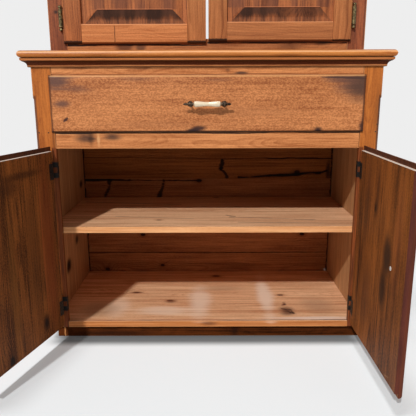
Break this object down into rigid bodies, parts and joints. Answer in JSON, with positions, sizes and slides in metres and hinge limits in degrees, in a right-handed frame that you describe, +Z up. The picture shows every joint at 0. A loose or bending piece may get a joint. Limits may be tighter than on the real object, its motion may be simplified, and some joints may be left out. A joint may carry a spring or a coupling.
{
  "type": "step back cupboard",
  "caption": "Pine step back cupboard: a shallow upper case with raised panel doors on a deeper lower case with a wide drawer and lipped doors that stand open over a shelf.",
  "frame": {"origin": "on the floor at mid-width, under the middle of the thickness of the lowest back board", "axes": "+X to the right as seen from the front, +Y towards the wall behind, +Z up; the doors and the drawer face -Y"},
  "size_m": [1.1188, 1, 1.915],
  "materials": {
    "pine": "oiled and waxed, warm orange brown, worn at the edges",
    "raw_pine": "bare, dry and knotty, darkened with age",
    "aged_pine": "dark stained, matt",
    "aged_brass": "dulled brass",
    "black_iron": "black, worn",
    "ceramic": "opaque cream glaze"
  },
  "bodies": {
    "case": {"base": "aged_pine", "bottom_board": "raw_pine", "cornice": "pine", "counter_board": "pine", "counter_moulding_front": "pine", "counter_moulding_left": "pine", "counter_moulding_right": "pine", "drawer_runner_left": "raw_pine", "drawer_runner_right": "raw_pine", "lower_back_board_1": "raw_pine", "lower_back_board_2": "raw_pine", "lower_back_board_3": "raw_pine", "lower_door_left_hinge_bottom_frame_leaf": "aged_brass", "lower_door_left_hinge_top_frame_leaf": "aged_brass", "lower_door_right_hinge_bottom_frame_leaf": "aged_brass", "lower_door_right_hinge_top_frame_leaf": "aged_brass", "lower_middle_rail": "pine", "lower_shelf": "raw_pine", "lower_side_left": "pine", "lower_side_right": "pine", "lower_stile_left": "pine", "lower_stile_right": "pine", "lower_top_rail": "pine", "top_board": "pine", "upper_back_board_left": "raw_pine", "upper_back_board_right": "raw_pine", "upper_bottom_board": "raw_pine", "upper_bottom_rail": "pine", "upper_door_left_hinge_bottom_frame_leaf": "aged_brass", "upper_door_left_hinge_top_frame_leaf": "aged_brass", "upper_door_right_hinge_bottom_frame_leaf": "aged_brass", "upper_door_right_hinge_top_frame_leaf": "aged_brass", "upper_shelf_1": "raw_pine", "upper_shelf_2": "raw_pine", "upper_side_left": "pine", "upper_side_right": "pine", "upper_stile_left": "pine", "upper_stile_right": "pine", "upper_top_rail": "pine"},
    "drawer": {"drawer_back": "raw_pine", "drawer_bottom": "raw_pine", "drawer_front": "pine", "drawer_side_left": "raw_pine", "drawer_side_right": "raw_pine", "pull_bar": "aged_brass", "pull_grip": "ceramic"},
    "lower_door_left": {"lower_door_left": "aged_pine", "lower_door_left_hinge_bottom_door_leaf": "black_iron", "lower_door_left_hinge_top_door_leaf": "black_iron"},
    "lower_door_right": {"lower_door_right": "aged_pine", "lower_door_right_hinge_bottom_door_leaf": "black_iron", "lower_door_right_hinge_top_door_leaf": "black_iron"},
    "upper_door_left": {"upper_door_left_frame": "pine", "upper_door_left_hinge_bottom_door_leaf": "black_iron", "upper_door_left_hinge_top_door_leaf": "black_iron", "upper_door_left_panel": "pine"},
    "upper_door_right": {"upper_door_right_frame": "pine", "upper_door_right_hinge_bottom_door_leaf": "black_iron", "upper_door_right_hinge_top_door_leaf": "black_iron", "upper_door_right_panel": "pine"}
  },
  "joints": [
    {"name": "drawer_slide", "type": "slide", "parent": "case", "child": "drawer", "axis": [0, -1, 0], "range_m": [0, 0.35]},
    {"name": "lower_door_left_hinge", "type": "hinge", "parent": "case", "child": "lower_door_left", "pos_m": [-0.4554, -0.54, 0.32], "axis": [0, 0, -1], "range_deg": [-104, 66]},
    {"name": "lower_door_right_hinge", "type": "hinge", "parent": "case", "child": "lower_door_right", "pos_m": [0.4554, -0.54, 0.32], "axis": [0, 0, 1], "range_deg": [-90.5, 79.5]},
    {"name": "upper_door_left_hinge", "type": "hinge", "parent": "case", "child": "upper_door_left", "pos_m": [-0.4554, -0.308, 1.36], "axis": [0, 0, -1], "range_deg": [0, 170]},
    {"name": "upper_door_right_hinge", "type": "hinge", "parent": "case", "child": "upper_door_right", "pos_m": [0.4554, -0.308, 1.36], "axis": [0, 0, 1], "range_deg": [0, 170]}
  ]
}
